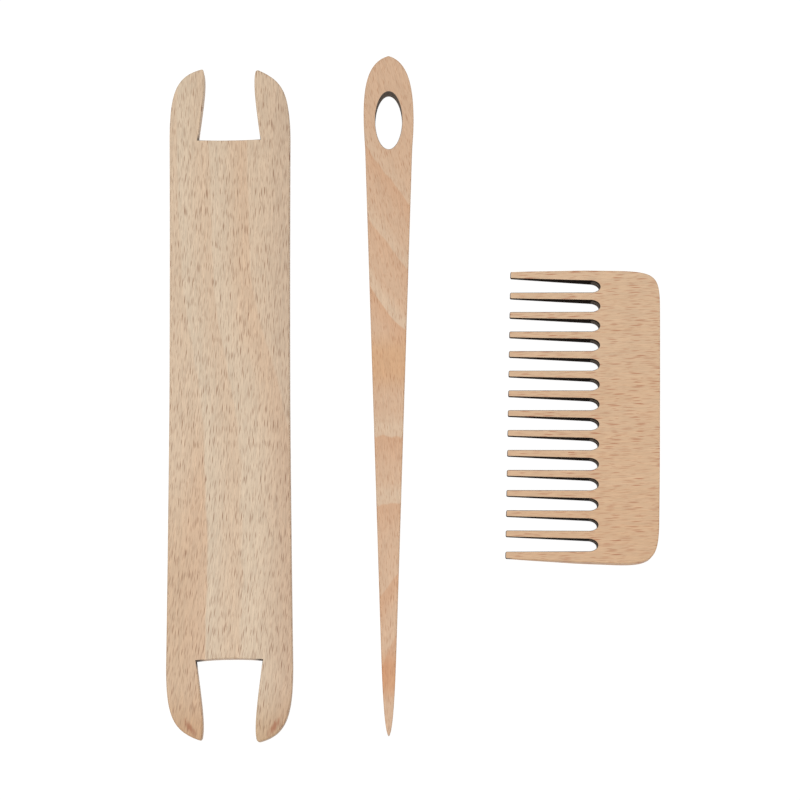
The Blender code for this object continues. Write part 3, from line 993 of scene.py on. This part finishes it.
def beech(name, colours, grain_way, rings, fibre_strength, fleck_layers, marks=None):
    """Oiled beech. marks adds what only one board has.

    colours are those of early wood, late wood and flecks. grain_way is (turned, lean, bend), as for
    grain_space, and each of fleck_layers is (spacing, seed, strength), as for flecks.
    """
    material, tree, shader = new_material(name)
    grain = grain_space(tree, *grain_way)
    wood, height = wood_colour(tree, grain, rings(tree, grain), colours, fibre_strength, fleck_layers)
    if marks:
        wood = marks(tree, grain, wood)
    colour, charred = walls(tree, grain, wood)
    tree.links.new(colour, shader.inputs["Base Color"])
    roughness = add(tree, "MapRange", (charred, 0, 1, OILED_ROUGHNESS, CHAR_ROUGHNESS))
    tree.links.new(roughness, shader.inputs["Roughness"])
    shader.inputs["IOR"].default_value = BEECH_IOR
    relief = add(tree, "Bump", {**GRAIN_RELIEF, "Height": height})
    tree.links.new(relief, shader.inputs["Normal"])
    print(name, "has", len(tree.nodes), "nodes")
    return material


# %% [markdown]
# ## The shuttle's wood
# Besides its rings, this board is greyer along its right side, a little browner low on its left, and
# browner still at its foot. Each of the two lower horns has a reddish scorch mark, such as a sanding
# belt leaves when it runs hot. All of it is laid over the wood as soft tints.

# %% Shuttle wood
SHUTTLE_COLOURS = ("#cebba2", "#cbab8c", "#80502c")
SHUTTLE_GRAIN = (False, 0.065, -0.0003)
SHUTTLE_FIBRES = 0.16
SHUTTLE_FLECKS = (((0.42, 5.4), 1, 0.95), ((0.33, 3.8), 2, 0.5))
RIGHT_TINT, LOW_LEFT_TINT, FOOT_TINT, SCORCH = "#f2f0f0", "#f8f0e8", "#ebdcc8", "#9c5f3a"
# Each mark's centre in mm, how far it is turned, and its half width and half length in mm.
SCORCH_MARKS = (((-11.1, -96.0), -0.57, (1.25, 3.4)), ((12.6, -96.2), 0.62, (1.35, 4.2)))


def shuttle_marks(tree, grain, wood):
    """The grey right side, the brown lower left side and foot, and the scorch marks."""
    right = add(tree, "MapRange", (grain["x"], 7, 18, 0.0, 1.0), **SOFT)
    wood = add(tree, "Mix", {0: right, 6: wood, 7: linear(RIGHT_TINT)}, **TINT)
    low = add(tree, "MapRange", (grain["y"], -15, -55), **SOFT)
    left = add(tree, "Math", (add(tree, "MapRange", (grain["x"], -8, -14), **SOFT), low), **TIMES)
    wood = add(tree, "Mix", {0: left, 6: wood, 7: linear(LOW_LEFT_TINT)}, **TINT)
    foot = add(tree, "MapRange", (grain["y"], -83, -102), **SOFT)
    wood = add(tree, "Mix", {0: foot, 6: wood, 7: linear(FOOT_TINT)}, **TINT)
    for centre, turn, size in SCORCH_MARKS:
        away = add(tree, "VectorMath", (grain["plain"], (*centre, 0)), **MINUS)
        spun = add(tree, "VectorRotate", {"Vector": away, "Angle": turn}, rotation_type="Z_AXIS")
        squeezed = add(tree, "VectorMath", (spun, (*size, 99)), operation="DIVIDE")
        length = add(tree, "VectorMath", [squeezed], out="Value", operation="LENGTH")
        torn = uneven(tree, grain["fibre"], (0.5, 2.5, 3), -0.35, 0.35)
        ragged = add(tree, "Math", (length, torn), **PLUS)
        share = add(tree, "MapRange", (ragged, 1.0, 0.1, 0.0, 0.85), **SOFT)
        wood = add(tree, "Mix", {0: share, 6: wood, 7: linear(SCORCH)}, **BLEND)
    return wood


shuttle.data.materials.append(beech(
    "oiled_beech_shuttle", SHUTTLE_COLOURS, SHUTTLE_GRAIN, shuttle_rings, SHUTTLE_FIBRES,
    SHUTTLE_FLECKS, shuttle_marks))
shuttle.data.materials.append(laser_char("laser_char_shuttle"))

# %% [markdown]
# ## The needle's wood
# This board is rosier, with fine short flecks. Two stretches of the blade are more orange: one just
# above its middle, and one just before the point.

# %% Needle wood
NEEDLE_COLOURS = ("#cdb093", "#c79c79", "#955620")
NEEDLE_GRAIN = (False, -0.085, -0.0007)
NEEDLE_FIBRES = 0.1
NEEDLE_FLECKS = (((0.45, 3.8), 4, 0.6), ((0.36, 2.6), 5, 0.35))
# Each place along the needle in mm, half the length of the stretch there, and its tint.
ORANGE_PLACES = ((6.5, 11.0, "#fff3e0"), (-84.5, 9.0, "#fbe3cc"))


def needle_marks(tree, grain, wood):
    """The two orange stretches, each fading out towards its ends."""
    for place, reach, tint in ORANGE_PLACES:
        away = add(tree, "Math", [add(tree, "Math", (grain["y"], place), **MINUS)], operation="ABSOLUTE")
        share = add(tree, "MapRange", (away, reach, 0.2 * reach), **SOFT)
        wood = add(tree, "Mix", {0: share, 6: wood, 7: linear(tint)}, **TINT)
    return wood


needle.data.materials.append(beech(
    "oiled_beech_needle", NEEDLE_COLOURS, NEEDLE_GRAIN, needle_rings, NEEDLE_FIBRES,
    NEEDLE_FLECKS, needle_marks))
needle.data.materials.append(laser_char("laser_char_needle"))

# %% [markdown]
# ## The comb's wood
# The grain runs along the teeth, or they would snap off when the comb beats the weft. The board is as
# warm as the needle's, and its flecks are the longest of the three. It needs no marks of its own.

# %% Comb wood
COMB_COLOURS = ("#cdad8c", "#c9a27c", "#a0562c")
COMB_GRAIN = (True, 0.05, 0.0)
COMB_FIBRES = 0.11
COMB_FLECKS = (((0.5, 6.4), 7, 0.95), ((0.4, 3.8), 8, 0.4))

comb.data.materials.append(beech(
    "oiled_beech_comb", COMB_COLOURS, COMB_GRAIN, comb_rings, COMB_FIBRES, COMB_FLECKS))
comb.data.materials.append(laser_char("laser_char_comb"))
